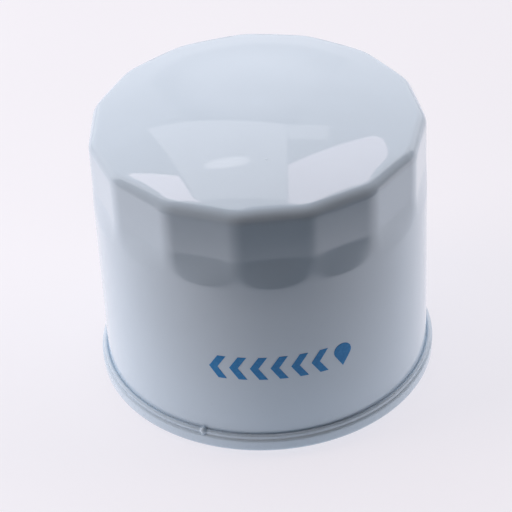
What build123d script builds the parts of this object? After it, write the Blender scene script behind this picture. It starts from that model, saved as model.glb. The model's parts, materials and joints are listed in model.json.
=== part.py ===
"""Spin-on oil filter, standing dome up on its gasket.

The origin is on the filter's axis in the plane of the gasket's lower face, with +Z towards the dome.
The middle of one wrench flat faces -Y. All sizes are in millimetres.
"""
from build123d import *
from math import cos, radians, sin
import os

# Can: one deep-drawn steel cup
can_radius = 37.85
can_sheet = 0.4
crown_z = 69.8
dome_rise = 4.0
dome_edge_radius = 36.0
dome_radius = (dome_edge_radius**2 + dome_rise**2) / (2 * dome_rise)
shoulder_radius = 2.2

# Wrench flutes pressed into the dome end
flute_count = 15
across_flats = 74.0
flute_floor_z = 53.6
ridge_radius = 9.0
ramp_height = 8.0
ramp_foot_distance = 38.0
ramp_foot_ridge_radius = 37.5

# Rolled seam: the cover wraps the can's flange
cover_sheet = 0.5
sheet_gap = 0.02
seam_bottom_z = 1.6
seam_top_z = 6.0
hook_overlap_top_z = 5.0
cover_hook_end_z = 3.3
wall_radius = can_radius - can_sheet / 2
chuck_radius = can_radius - can_sheet - sheet_gap - cover_sheet / 2
cover_hook_radius = can_radius + sheet_gap + cover_sheet / 2
body_hook_radius = cover_hook_radius + cover_sheet / 2 + sheet_gap + can_sheet / 2
panel_radius = body_hook_radius + can_sheet / 2 + sheet_gap + cover_sheet / 2
lower_bend_radius = (panel_radius - chuck_radius) / 2
upper_bend_radius = (panel_radius - cover_hook_radius) / 2
lower_bend_z = seam_bottom_z + lower_bend_radius + cover_sheet / 2
upper_bend_z = seam_top_z - upper_bend_radius - cover_sheet / 2

# Gasket and the channel that holds it
gasket_inner_radius = 27.5
gasket_outer_radius = 31.5
gasket_height = 5.0
gasket_edge_radius = 0.4
channel_clearance = 0.05
bead_width = 1.3
bead_bottom_z = 2.6
cover_bend_radius = 0.6
cover_lip_radius = 24.6
land_z = gasket_height + cover_sheet / 2
channel_inner_radius = gasket_inner_radius - channel_clearance - cover_sheet / 2
channel_outer_radius = gasket_outer_radius + channel_clearance + cover_sheet / 2

# Thread plate: a thick disc with a tapped collar, M20 x 1.5
plate_radius = 36.0
plate_thickness = 3.2
plate_bottom_z = gasket_height + cover_sheet
plate_top_z = plate_bottom_z + plate_thickness
thread_minor_radius = 9.188
thread_lead_in = 0.9
collar_radius = 12.0
collar_top_z = 14.3
inlet_count = 8
inlet_radius = 2.75
inlet_circle_radius = 18.3
plate_edge_break = 0.5

# Anti-drainback valve: a rubber ring with a conical lip
valve_bore_clearance = 0.15
valve_bore_radius = collar_radius + valve_bore_clearance
valve_top_z = 13.0
valve_seat_radius = 16.0
valve_fold_radius = 15.0
valve_seat_thickness = 1.4
valve_sleeve_thickness = 1.2
valve_tip_radius = 23.6
valve_tip_thickness = 0.8
valve_lip_thickness = 1.1
resting_gap = 0.05
valve_sleeve_bottom_z = plate_top_z + plate_edge_break + resting_gap
valve_fold_z = valve_top_z - valve_seat_thickness
valve_tip_z = plate_top_z + resting_gap

# Filter element
cap_sheet = 0.4
cap_radius = 32.4
cap_lip_height = 3.6
cap_bend_radius = 0.6
lower_cap_z = valve_top_z + resting_gap
lower_cap_hole_radius = 12.4
potting_thickness = 2.0
potting_gap = 0.05
tube_radius = 13.2
tube_sheet = 0.4
perforation_radius = 1.5
perforation_rows = 7
perforations_per_row = 10
media_outer_radius = 31.3
media_inner_radius = 14.2
media_height = 37.0
paper_thickness = 0.5
pleat_count = 48
pleat_tip_half_width = 0.8
pleat_gap_half_width = 0.15
clip_sheet = 0.3
clip_depth = 2.8
clip_clearance = 0.03
media_bottom_z = lower_cap_z + cap_sheet + potting_gap + potting_thickness
media_top_z = media_bottom_z + media_height
upper_cap_bottom_z = media_top_z + potting_thickness + potting_gap
upper_cap_top_z = upper_cap_bottom_z + cap_sheet

# Bypass valve hanging in the centre tube
seat_hole_radius = 6.0
cage_sheet = 0.5
cage_flange_radius = 12.2
cage_radius = 9.6
cage_depth = 14.0
cage_outlet_radius = 3.0
cage_window_count = 4
cage_window_width = 5.0
cage_window_height = 4.0
seal_outer_radius = 8.4
seal_inner_radius = 3.0
seal_thickness = 1.5
poppet_radius = 8.6
poppet_thickness = 0.8
poppet_guide_radius = 3.4
poppet_guide_height = 4.0
poppet_stud_radius = 2.95
bypass_spring_radius = 5.0
bypass_wire = 0.9
bypass_turns = 5

# Support spring between the dome and the element
support_spring_radius = 11.0
support_wire = 1.7
support_turns = 3.5

# Printed mark on the can: an oil drop and arrowheads, upside down while the dome is up
print_depth = 0.04
print_gap = 0.01
print_height = 6.2
print_z = 24.9
print_first_angle = -67.9
print_drop_radius = 2.1
chevron_count = 6
chevron_pitch_angle = 6.9
chevron_gap_angle = 1.4
chevron_reach = 2.0
chevron_bar = 1.9

# Working allowances: how far solids run past a surface that a later step cuts them back to
trim_margin = 1.0
cutter_length = 2.0

os.makedirs("parts", exist_ok=True)


def dome_height(radius):
    """Height of the dome's outer surface at a distance from the axis."""
    return crown_z - dome_radius + (dome_radius**2 - radius**2) ** 0.5


def polar_point(radius, angle):
    """Point at a radius and an angle in degrees."""
    return (radius * cos(radians(angle)), radius * sin(radians(angle)))


def flute_outline(distance, corner_radius):
    """Regular outline with rounded ridges, the middle of one side facing -Y."""
    with BuildSketch() as outline:
        RegularPolygon(distance, flute_count, major_radius=False, rotation=-90 + 180 / flute_count)
        fillet(outline.vertices(), corner_radius)
    return outline.sketch


def can_envelope(inset):
    """Solid inside the can's outer surface, moved inward by inset."""
    flat_distance = across_flats / 2 - inset
    side_radius = can_radius - inset
    dome_top = crown_z - inset
    dome_side = dome_height(side_radius) - inset
    dome_middle_radius = side_radius / 2
    ramp_bottom_z = flute_floor_z - ramp_height
    with BuildPart() as envelope:
        with BuildSketch(Plane.XY.offset(flute_floor_z)):
            add(flute_outline(flat_distance, ridge_radius - inset))
        extrude(amount=crown_z - flute_floor_z)
        with BuildSketch(Plane.XY.offset(flute_floor_z)):
            add(flute_outline(flat_distance, ridge_radius - inset))
        with BuildSketch(Plane.XY.offset(ramp_bottom_z)):
            add(flute_outline(ramp_foot_distance - inset, ramp_foot_ridge_radius - inset))
        loft(ruled=True)
        with BuildSketch(Plane.XY.offset(lower_bend_z)):
            Circle(can_radius + trim_margin)
        extrude(amount=ramp_bottom_z - lower_bend_z)
        with BuildSketch(Plane.XZ):
            with BuildLine():
                Polyline(
                    (0, dome_top),
                    (0, lower_bend_z),
                    (side_radius, lower_bend_z),
                    (side_radius, dome_side),
                )
                ThreePointArc(
                    (side_radius, dome_side),
                    (dome_middle_radius, dome_height(dome_middle_radius) - inset),
                    (0, dome_top),
                )
            make_face()
        revolve(axis=Axis.Z, mode=Mode.INTERSECT)
        shoulder = envelope.edges().filter_by_position(Axis.Z, dome_side - trim_margin, dome_top)
        fillet(shoulder, shoulder_radius - inset)
    return envelope.part


# Can with its flange hooked into the seam
outer_envelope = can_envelope(0)
inner_envelope = can_envelope(can_sheet)
with BuildPart() as can:
    add(outer_envelope)
    add(inner_envelope, mode=Mode.SUBTRACT)
    with BuildSketch(Plane.XZ):
        with BuildLine():
            flange_bend = JernArc(
                start=(wall_radius, lower_bend_z),
                tangent=(0, -1),
                radius=(body_hook_radius - wall_radius) / 2,
                arc_size=180,
            )
            Line(flange_bend @ 1, (body_hook_radius, hook_overlap_top_z))
        trace(line_width=can_sheet)
    revolve(axis=Axis.Z)
can.part.label = "can"

# Seaming cover: lip, gasket channel, land, chuck wall and the rolled edge
with BuildPart() as seaming_cover:
    with BuildSketch(Plane.XZ):
        with BuildLine():
            pressed = FilletPolyline(
                (cover_lip_radius, land_z),
                (channel_inner_radius - bead_width, land_z),
                (channel_inner_radius - bead_width, bead_bottom_z),
                (channel_inner_radius, bead_bottom_z),
                (channel_inner_radius, land_z),
                (channel_outer_radius, land_z),
                (channel_outer_radius, bead_bottom_z),
                (channel_outer_radius + bead_width, bead_bottom_z),
                (channel_outer_radius + bead_width, land_z),
                (chuck_radius, land_z),
                (chuck_radius, lower_bend_z),
                radius=cover_bend_radius,
            )
            lower_bend = JernArc(start=pressed @ 1, tangent=(0, -1), radius=lower_bend_radius, arc_size=180)
            panel = Line(lower_bend @ 1, (panel_radius, upper_bend_z))
            upper_bend = JernArc(start=panel @ 1, tangent=(0, 1), radius=upper_bend_radius, arc_size=180)
            Line(upper_bend @ 1, (cover_hook_radius, cover_hook_end_z))
        trace(line_width=cover_sheet)
    revolve(axis=Axis.Z)
seaming_cover.part.label = "seaming_cover"

# Sealing compound in the seam's two voids
with BuildPart() as seam_compound:
    with BuildSketch(Plane.XZ):
        with Locations((body_hook_radius, (hook_overlap_top_z + upper_bend_z) / 2)):
            Rectangle(can_sheet - 2 * sheet_gap, upper_bend_z - hook_overlap_top_z - 2 * sheet_gap)
        with Locations((cover_hook_radius, (lower_bend_z + cover_hook_end_z) / 2)):
            Rectangle(cover_sheet - 2 * sheet_gap, cover_hook_end_z - lower_bend_z - 2 * sheet_gap)
    revolve(axis=Axis.Z)
seam_compound.part.label = "seam_compound"

# Gasket
with BuildPart() as gasket:
    with BuildSketch(Plane.XZ) as gasket_section:
        with Locations(((gasket_inner_radius + gasket_outer_radius) / 2, gasket_height / 2)):
            Rectangle(gasket_outer_radius - gasket_inner_radius, gasket_height)
        fillet(gasket_section.vertices(), gasket_edge_radius)
    revolve(axis=Axis.Z)
gasket.part.label = "gasket"

# Thread plate with the tapped collar and the oil inlets
with BuildPart() as thread_plate:
    with BuildSketch(Plane.XY.offset(plate_bottom_z)):
        Circle(plate_radius)
    extrude(amount=plate_thickness)
    rim_edges = thread_plate.edges().filter_by(GeomType.CIRCLE)
    chamfer(rim_edges, plate_edge_break)
    with BuildSketch(Plane.XY.offset(plate_top_z)):
        Circle(collar_radius)
    extrude(amount=collar_top_z - plate_top_z)
    with BuildSketch(Plane.XY.offset(plate_bottom_z)):
        Circle(thread_minor_radius)
    extrude(amount=collar_top_z - plate_bottom_z, mode=Mode.SUBTRACT)
    bore_mouths = thread_plate.edges().filter_by(GeomType.CIRCLE).sort_by(SortBy.RADIUS)[:2]
    chamfer(bore_mouths, thread_lead_in)
    plate_top_edges = thread_plate.edges().filter_by_position(Axis.Z, plate_top_z, plate_top_z)
    collar_root = plate_top_edges.sort_by(SortBy.RADIUS)[0]
    fillet(collar_root, plate_edge_break)
    with BuildSketch(Plane.XY.offset(plate_bottom_z)):
        with PolarLocations(inlet_circle_radius, inlet_count):
            Circle(inlet_radius)
    extrude(amount=plate_thickness, mode=Mode.SUBTRACT)
thread_plate.part.label = "thread_plate"

# Anti-drainback valve round the collar, its lip resting on the plate outside the inlets
with BuildPart() as anti_drainback_valve:
    with BuildSketch(Plane.XZ) as valve_section:
        with BuildLine():
            Polyline(
                (valve_bore_radius, valve_top_z),
                (valve_bore_radius, valve_sleeve_bottom_z),
                (valve_bore_radius + valve_sleeve_thickness, valve_sleeve_bottom_z),
                (valve_bore_radius + valve_sleeve_thickness, valve_fold_z),
                (valve_fold_radius, valve_fold_z),
                (valve_tip_radius - valve_tip_thickness, valve_tip_z),
                (valve_tip_radius, valve_tip_z),
                (valve_tip_radius, valve_tip_z + valve_tip_thickness),
                (valve_seat_radius, valve_fold_z + valve_lip_thickness),
                (valve_seat_radius, valve_top_z),
                close=True,
            )
        make_face()
    revolve(axis=Axis.Z)
anti_drainback_valve.part.label = "anti_drainback_valve"

# Lower end cap of the element, lip up
with BuildPart() as lower_end_cap:
    with BuildSketch(Plane.XZ):
        with BuildLine():
            FilletPolyline(
                (lower_cap_hole_radius, lower_cap_z + cap_sheet / 2),
                (cap_radius - cap_sheet / 2, lower_cap_z + cap_sheet / 2),
                (cap_radius - cap_sheet / 2, lower_cap_z + cap_lip_height),
                radius=cap_bend_radius,
            )
        trace(line_width=cap_sheet)
    revolve(axis=Axis.Z)
lower_end_cap.part.label = "lower_end_cap"

# Upper end cap, lip down, with the bypass valve's seat hole in its middle
with BuildPart() as upper_end_cap:
    with BuildSketch(Plane.XZ):
        with BuildLine():
            FilletPolyline(
                (seat_hole_radius, upper_cap_top_z - cap_sheet / 2),
                (cap_radius - cap_sheet / 2, upper_cap_top_z - cap_sheet / 2),
                (cap_radius - cap_sheet / 2, upper_cap_top_z - cap_lip_height),
                radius=cap_bend_radius,
            )
        trace(line_width=cap_sheet)
    revolve(axis=Axis.Z)
upper_end_cap.part.label = "upper_end_cap"

# Potting compound between each cap and the paper
potting_inner_radius = tube_radius + potting_gap
potting_outer_radius = cap_radius - cap_sheet - cap_bend_radius
with BuildPart() as lower_potting:
    with BuildSketch(Plane.XY.offset(media_bottom_z - potting_thickness)):
        Circle(potting_outer_radius)
        Circle(potting_inner_radius, mode=Mode.SUBTRACT)
    extrude(amount=potting_thickness)
lower_potting.part.label = "lower_potting"

with BuildPart() as upper_potting:
    with BuildSketch(Plane.XY.offset(media_top_z)):
        Circle(potting_outer_radius)
        Circle(potting_inner_radius, mode=Mode.SUBTRACT)
    extrude(amount=potting_thickness)
upper_potting.part.label = "upper_potting"

# Pleated paper: the strip between two zigzag outlines
pleat_pitch = 360 / pleat_count


def zigzag(tip_radius, tip_half_width, root_radius, root_half_width):
    """Closed outline with a flat tip and a flat root for every pleat, half widths along the arc."""
    tip_angle = tip_half_width / radians(1) / tip_radius
    root_angle = root_half_width / radians(1) / root_radius
    outline = []
    for index in range(pleat_count):
        tip = index * pleat_pitch
        root = tip + pleat_pitch / 2
        outline.append(polar_point(tip_radius, tip - tip_angle))
        outline.append(polar_point(tip_radius, tip + tip_angle))
        outline.append(polar_point(root_radius, root - root_angle))
        outline.append(polar_point(root_radius, root + root_angle))
    return outline


outer_outline = zigzag(
    media_outer_radius,
    pleat_tip_half_width,
    media_inner_radius + paper_thickness,
    pleat_gap_half_width,
)
inner_outline = zigzag(
    media_outer_radius - paper_thickness,
    pleat_tip_half_width - paper_thickness,
    media_inner_radius,
    pleat_gap_half_width + paper_thickness,
)
with BuildPart() as pleated_media:
    with BuildSketch(Plane.XY.offset(media_bottom_z)):
        with BuildLine():
            Polyline(*outer_outline, close=True)
        make_face()
        with BuildLine():
            Polyline(*inner_outline, close=True)
        make_face(mode=Mode.SUBTRACT)
    extrude(amount=media_height)
pleated_media.part.label = "pleated_media"

# Clip that joins the ends of the paper: a channel over one pleat
clip_half_width = pleat_tip_half_width + clip_clearance
clip_tip_radius = media_outer_radius + clip_clearance + clip_sheet
with BuildPart() as pleat_clip:
    with BuildSketch(Plane.XY.offset(media_bottom_z)):
        with Locations((clip_tip_radius - clip_depth / 2, 0)):
            Rectangle(clip_depth, 2 * (clip_half_width + clip_sheet))
        with Locations((clip_tip_radius - clip_sheet - clip_depth / 2, 0)):
            Rectangle(clip_depth, 2 * clip_half_width, mode=Mode.SUBTRACT)
    extrude(amount=media_height)
pleat_clip.part.label = "pleat_clip"

# Perforated centre tube
tube_bottom_z = lower_cap_z + cap_sheet
tube_height = upper_cap_bottom_z - tube_bottom_z
row_pitch = tube_height / (perforation_rows + 1)
with BuildPart() as centre_tube:
    with BuildSketch(Plane.XY.offset(tube_bottom_z)):
        Circle(tube_radius)
        Circle(tube_radius - tube_sheet, mode=Mode.SUBTRACT)
    extrude(amount=tube_height)
    for row in range(perforation_rows):
        stagger = (row % 2) * 180 / perforations_per_row
        with Locations((0, 0, tube_bottom_z + (row + 1) * row_pitch)):
            with PolarLocations(tube_radius, perforations_per_row, start_angle=stagger):
                Cylinder(perforation_radius, cutter_length, rotation=(0, 90, 0), mode=Mode.SUBTRACT)
centre_tube.part.label = "centre_tube"

# Bypass valve cage: a flanged cup with an outlet and side windows
cage_top_z = upper_cap_bottom_z
cage_bottom_z = cage_top_z - cage_depth
with BuildPart() as bypass_valve_cage:
    with BuildSketch(Plane.XZ):
        with BuildLine():
            FilletPolyline(
                (cage_flange_radius, cage_top_z - cage_sheet / 2),
                (cage_radius - cage_sheet / 2, cage_top_z - cage_sheet / 2),
                (cage_radius - cage_sheet / 2, cage_bottom_z + cage_sheet / 2),
                (cage_outlet_radius, cage_bottom_z + cage_sheet / 2),
                radius=cap_bend_radius,
            )
        trace(line_width=cage_sheet)
    revolve(axis=Axis.Z)
    with Locations((0, 0, cage_top_z - cage_depth / 2)):
        with PolarLocations(cage_radius, cage_window_count):
            Box(cutter_length, cage_window_width, cage_window_height, mode=Mode.SUBTRACT)
bypass_valve_cage.part.label = "bypass_valve_cage"

# Bypass seal under the seat hole, and the poppet that carries it
seal_top_z = upper_cap_bottom_z - resting_gap
seal_bottom_z = seal_top_z - seal_thickness
with BuildPart() as bypass_seal:
    with BuildSketch(Plane.XY.offset(seal_bottom_z)):
        Circle(seal_outer_radius)
        Circle(seal_inner_radius, mode=Mode.SUBTRACT)
    extrude(amount=seal_thickness)
bypass_seal.part.label = "bypass_seal"

poppet_bottom_z = seal_bottom_z - poppet_thickness
with BuildPart() as bypass_poppet:
    with BuildSketch(Plane.XY.offset(poppet_bottom_z)):
        Circle(poppet_radius)
    extrude(amount=poppet_thickness)
    with BuildSketch(Plane.XY.offset(seal_bottom_z)):
        Circle(poppet_stud_radius)
    extrude(amount=seal_thickness)
    with BuildSketch(Plane.XY.offset(poppet_bottom_z)):
        Circle(poppet_guide_radius)
    extrude(amount=-poppet_guide_height)
    poppet_ends = bypass_poppet.edges().filter_by(GeomType.CIRCLE).group_by(Axis.Z)
    chamfer(poppet_ends[0] + poppet_ends[-1], poppet_thickness / 2)
bypass_poppet.part.label = "bypass_poppet"

# Bypass spring round the poppet's guide
bypass_spring_bottom_z = cage_bottom_z + cage_sheet + bypass_wire / 2 + resting_gap
bypass_spring_height = poppet_bottom_z - bypass_wire / 2 - resting_gap - bypass_spring_bottom_z
with BuildPart() as bypass_spring:
    with BuildLine(Plane.XY.offset(bypass_spring_bottom_z)) as bypass_coil:
        Helix(bypass_spring_height / bypass_turns, bypass_spring_height, bypass_spring_radius)
    with BuildSketch(Plane(origin=bypass_coil.line @ 0, z_dir=bypass_coil.line % 0)):
        Circle(bypass_wire / 2)
    sweep(path=bypass_coil.line, is_frenet=True)
bypass_spring.part.label = "bypass_spring"

# Support spring, which presses the element and the valve's seat onto the plate
dome_inside_z = dome_height(support_spring_radius + support_wire / 2) - can_sheet
support_spring_bottom_z = upper_cap_top_z + support_wire / 2 + resting_gap
support_spring_height = dome_inside_z - support_wire / 2 - resting_gap - support_spring_bottom_z
with BuildPart() as support_spring:
    with BuildLine(Plane.XY.offset(support_spring_bottom_z)) as support_coil:
        Helix(support_spring_height / support_turns, support_spring_height, support_spring_radius)
    with BuildSketch(Plane(origin=support_coil.line @ 0, z_dir=support_coil.line % 0)):
        Circle(support_wire / 2)
    sweep(path=support_coil.line, is_frenet=True)
support_spring.part.label = "support_spring"


def print_plane(angle):
    """Plane on the can's side at an angle, its y axis pointing down because the print is upside down."""
    outward = (cos(radians(angle)), sin(radians(angle)), 0)
    leftward = (sin(radians(angle)), -cos(radians(angle)), 0)
    origin = (can_radius * outward[0], can_radius * outward[1], print_z)
    return Plane(origin=origin, x_dir=leftward, z_dir=outward)


# Printed mark: a film of ink cut to the can's curve
drop_centre_y = print_drop_radius - print_height / 2
drop_side_sine = print_drop_radius / (print_height - print_drop_radius)
drop_side_x = print_drop_radius * (1 - drop_side_sine**2) ** 0.5
drop_side_y = drop_centre_y + print_drop_radius * drop_side_sine
chevron_half = print_height / 2
with BuildPart() as printed_mark:
    with BuildSketch(print_plane(print_first_angle)):
        with BuildLine():
            Polyline((drop_side_x, drop_side_y), (0, print_height / 2), (-drop_side_x, drop_side_y))
            ThreePointArc(
                (-drop_side_x, drop_side_y),
                (0, -print_height / 2),
                (drop_side_x, drop_side_y),
            )
        make_face()
    extrude(amount=trim_margin, both=True)
    for index in range(chevron_count):
        angle = print_first_angle - chevron_gap_angle - (index + 1) * chevron_pitch_angle
        with BuildSketch(print_plane(angle)):
            with BuildLine():
                Polyline(
                    (chevron_reach / 2 + chevron_bar / 2, 0),
                    (-chevron_reach / 2 + chevron_bar / 2, chevron_half),
                    (-chevron_reach / 2 - chevron_bar / 2, chevron_half),
                    (chevron_reach / 2 - chevron_bar / 2, 0),
                    (-chevron_reach / 2 - chevron_bar / 2, -chevron_half),
                    (-chevron_reach / 2 + chevron_bar / 2, -chevron_half),
                    close=True,
                )
            make_face()
        extrude(amount=trim_margin, both=True)
    with BuildSketch(Plane.XY.offset(print_z - print_height)):
        Circle(can_radius + print_gap + print_depth)
        Circle(can_radius + print_gap, mode=Mode.SUBTRACT)
    extrude(amount=2 * print_height, mode=Mode.INTERSECT)
printed_mark.part.label = "printed_mark"

export_step(can.part, "parts/can.step")
export_step(seaming_cover.part, "parts/seaming_cover.step")
export_step(seam_compound.part, "parts/seam_compound.step")
export_step(gasket.part, "parts/gasket.step")
export_step(thread_plate.part, "parts/thread_plate.step")
export_step(anti_drainback_valve.part, "parts/anti_drainback_valve.step")
export_step(lower_end_cap.part, "parts/lower_end_cap.step")
export_step(upper_end_cap.part, "parts/upper_end_cap.step")
export_step(lower_potting.part, "parts/lower_potting.step")
export_step(upper_potting.part, "parts/upper_potting.step")
export_step(pleated_media.part, "parts/pleated_media.step")
export_step(pleat_clip.part, "parts/pleat_clip.step")
export_step(centre_tube.part, "parts/centre_tube.step")
export_step(bypass_valve_cage.part, "parts/bypass_valve_cage.step")
export_step(bypass_seal.part, "parts/bypass_seal.step")
export_step(bypass_poppet.part, "parts/bypass_poppet.step")
export_step(bypass_spring.part, "parts/bypass_spring.step")
export_step(support_spring.part, "parts/support_spring.step")
export_step(printed_mark.part, "parts/printed_mark.step")
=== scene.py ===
import json
import math

import bmesh
import bpy
import numpy as np
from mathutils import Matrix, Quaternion, Vector


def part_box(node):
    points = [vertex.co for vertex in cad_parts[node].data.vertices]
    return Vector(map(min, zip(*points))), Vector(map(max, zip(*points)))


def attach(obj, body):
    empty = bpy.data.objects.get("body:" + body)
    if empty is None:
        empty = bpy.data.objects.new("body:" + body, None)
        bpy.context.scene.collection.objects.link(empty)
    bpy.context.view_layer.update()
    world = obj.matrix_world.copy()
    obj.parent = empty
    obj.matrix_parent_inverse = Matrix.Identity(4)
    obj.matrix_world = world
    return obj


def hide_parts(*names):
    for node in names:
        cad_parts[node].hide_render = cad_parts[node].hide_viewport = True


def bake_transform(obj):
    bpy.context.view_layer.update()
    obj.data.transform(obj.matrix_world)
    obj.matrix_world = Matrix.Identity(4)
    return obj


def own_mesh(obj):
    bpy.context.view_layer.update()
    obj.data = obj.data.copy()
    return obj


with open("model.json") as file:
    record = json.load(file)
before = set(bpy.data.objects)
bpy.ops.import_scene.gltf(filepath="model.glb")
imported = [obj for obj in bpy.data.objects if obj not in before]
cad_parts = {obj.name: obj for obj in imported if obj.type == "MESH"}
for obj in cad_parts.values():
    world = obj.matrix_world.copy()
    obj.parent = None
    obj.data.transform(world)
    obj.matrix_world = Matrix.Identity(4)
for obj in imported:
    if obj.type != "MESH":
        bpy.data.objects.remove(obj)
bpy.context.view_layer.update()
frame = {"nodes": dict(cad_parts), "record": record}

MM = 0.001
EVEN = (1, 1, 1)

# ---------------------------------------------------------------- sizes, in millimetres, as in the CAD part
can_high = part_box("can")[1]
gasket_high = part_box("gasket")[1]
plate_low, plate_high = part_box("thread_plate")
valve_low, valve_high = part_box("anti_drainback_valve")
cover_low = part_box("seaming_cover")[0]
mark_low, mark_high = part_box("printed_mark")

CROWN_Z = can_high.z / MM
CAN_RADIUS = 37.85
CAN_SHEET = 0.4
DOME_RISE = 4.0
DOME_EDGE_RADIUS = 36.0
DOME_RADIUS = (DOME_EDGE_RADIUS**2 + DOME_RISE**2) / (2 * DOME_RISE)
SHOULDER_RADIUS = 2.2
FLUTE_COUNT = 15
FLAT_DISTANCE = 37.0
FLUTE_FLOOR_Z = 53.6
RAMP_HEIGHT = 8.0
RAMP_FOOT_RADIUS = 38.0
RIDGE_BLEND = 0.8
RAMP_BLEND = 0.09
SIDE_BLEND = 0.06

# Cut edges of sheet: how far they bulge, and where their rounding starts, as shares of the sheet
CUT_BULGE = 0.15
CUT_SHOULDER = 0.55

COVER_SHEET = 0.5
SHEET_GAP = 0.02
SEAM_BOTTOM_Z = cover_low.z / MM
WALL_RADIUS = CAN_RADIUS - CAN_SHEET / 2
CHUCK_RADIUS = CAN_RADIUS - CAN_SHEET - SHEET_GAP - COVER_SHEET / 2
COVER_HOOK_RADIUS = CAN_RADIUS + SHEET_GAP + COVER_SHEET / 2
BODY_HOOK_RADIUS = COVER_HOOK_RADIUS + COVER_SHEET / 2 + SHEET_GAP + CAN_SHEET / 2
PANEL_RADIUS = BODY_HOOK_RADIUS + CAN_SHEET / 2 + SHEET_GAP + COVER_SHEET / 2
LOWER_BEND_RADIUS = (PANEL_RADIUS - CHUCK_RADIUS) / 2
LOWER_BEND_Z = SEAM_BOTTOM_Z + LOWER_BEND_RADIUS + COVER_SHEET / 2
BODY_HOOK_END_Z = 4.6
COVER_HOOK_END_Z = 3.3

GASKET_HEIGHT = gasket_high.z / MM
GASKET_INNER_RADIUS = 27.5
GASKET_OUTER_RADIUS = gasket_high.x / MM
CHANNEL_CLEARANCE = 0.05
BEAD_WIDTH = 1.3
BEAD_BOTTOM_Z = 2.6
COVER_BEND_RADIUS = 0.6
COVER_LIP_RADIUS = 24.6
LAND_Z = GASKET_HEIGHT + COVER_SHEET / 2
CHANNEL_INNER_RADIUS = GASKET_INNER_RADIUS - CHANNEL_CLEARANCE - COVER_SHEET / 2
CHANNEL_OUTER_RADIUS = GASKET_OUTER_RADIUS + CHANNEL_CLEARANCE + COVER_SHEET / 2

PLATE_RADIUS = plate_high.x / MM
PLATE_BOTTOM_Z = plate_low.z / MM
PLATE_THICKNESS = 3.2
PLATE_TOP_Z = PLATE_BOTTOM_Z + PLATE_THICKNESS
PLATE_EDGE_BREAK = 0.5
COLLAR_RADIUS = 12.0
COLLAR_TOP_Z = plate_high.z / MM
THREAD_MINOR_RADIUS = 9.188
THREAD_MAJOR_RADIUS = 10.0
THREAD_PITCH = 1.5
THREAD_LEAD_IN = 0.9
INLET_COUNT = 8
INLET_RADIUS = 2.75
INLET_CIRCLE_RADIUS = 18.3
INLET_ROLLOVER = 0.25
COLLAR_EDGE_BREAK = 0.3
THREAD_ROWS = 147


# ---------------------------------------------------------------- mesh helpers
SAME_POINT = 1e-6


def new_object(name, vertices, faces, smooth=True):
    """Mesh object from vertices in millimetres."""
    mesh = bpy.data.meshes.new(name)
    scaled = np.asarray(vertices, float) * MM
    mesh.from_pydata(scaled.tolist(), [], faces)
    mesh.update()
    made = bpy.data.objects.new(name, mesh)
    bpy.context.scene.collection.objects.link(made)
    if smooth:
        mesh.shade_smooth()
    return made


def tidy_normals(made, weld=0.0):
    """Welds doubles within weld millimetres and turns all faces outward."""
    edit = bmesh.new()
    edit.from_mesh(made.data)
    if weld:
        bmesh.ops.remove_doubles(edit, verts=edit.verts, dist=weld * MM)
    bmesh.ops.recalc_face_normals(edit, faces=edit.faces)
    edit.to_mesh(made.data)
    edit.free()
    made.data.update()


def ring_faces(rows, columns, closed_rows=False):
    """Quads of a grid whose columns go round; closed_rows joins the last row to the first."""
    faces = []
    for row in range(rows if closed_rows else rows - 1):
        here = row * columns
        after = (row + 1) % rows * columns
        for column in range(columns):
            beside = (column + 1) % columns
            faces.append((here + column, here + beside, after + beside, after + column))
    return faces


def turned(outline, angles):
    """Vertices of a closed outline of (radius, z) points turned round the axis."""
    outline = np.asarray(outline, float)
    radius = outline[:, 0][:, None]
    height = outline[:, 1][:, None]
    x = radius * np.cos(angles)[None, :]
    y = radius * np.sin(angles)[None, :]
    z = np.repeat(height, len(angles), axis=1)
    return np.stack([x, y, z], axis=-1)


def round_angles(columns):
    """Angles of the columns, with one column in the middle of the flat that faces -Y."""
    return np.arange(columns) * 2 * math.pi / columns - math.pi / 2


def arc(centre, radius, start, end, steps):
    """Points of an arc in the (radius, z) plane, angles in degrees."""
    angles = np.radians(np.linspace(start, end, steps + 1))
    return [(centre[0] + radius * math.cos(a), centre[1] + radius * math.sin(a)) for a in angles]


def bent_line(corners, radii, steps=8, spacing=1.5):
    """Centreline through corners, each rounded by its radius, with straight runs cut to the spacing."""
    points = [np.array(corners[0], float)]
    for before, corner, after, radius in zip(corners, corners[1:], corners[2:], radii):
        corner = np.array(corner, float)
        back = np.array(before, float) - corner
        ahead = np.array(after, float) - corner
        back /= np.linalg.norm(back)
        ahead /= np.linalg.norm(ahead)
        half = math.acos(np.clip(back @ ahead, -1, 1)) / 2
        reach = radius / math.tan(half)
        centre = corner + (back + ahead) / np.linalg.norm(back + ahead) * radius / math.sin(half)
        first = corner + back * reach - centre
        last = corner + ahead * reach - centre
        sweep = math.atan2(first[0] * last[1] - first[1] * last[0], first @ last)
        for share in np.linspace(0, 1, steps + 1):
            turn = sweep * share
            c, s = math.cos(turn), math.sin(turn)
            swung = [c * first[0] - s * first[1], s * first[0] + c * first[1]]
            points.append(centre + np.array(swung))
    points.append(np.array(corners[-1], float))
    line = [points[0]]
    for point in points[1:]:
        gap = np.linalg.norm(point - line[-1])
        if gap < SAME_POINT:
            continue
        cuts = max(1, math.ceil(gap / spacing))
        start = line[-1]
        line += [start + (point - start) * k / cuts for k in range(1, cuts + 1)]
    return np.array(line)


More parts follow.
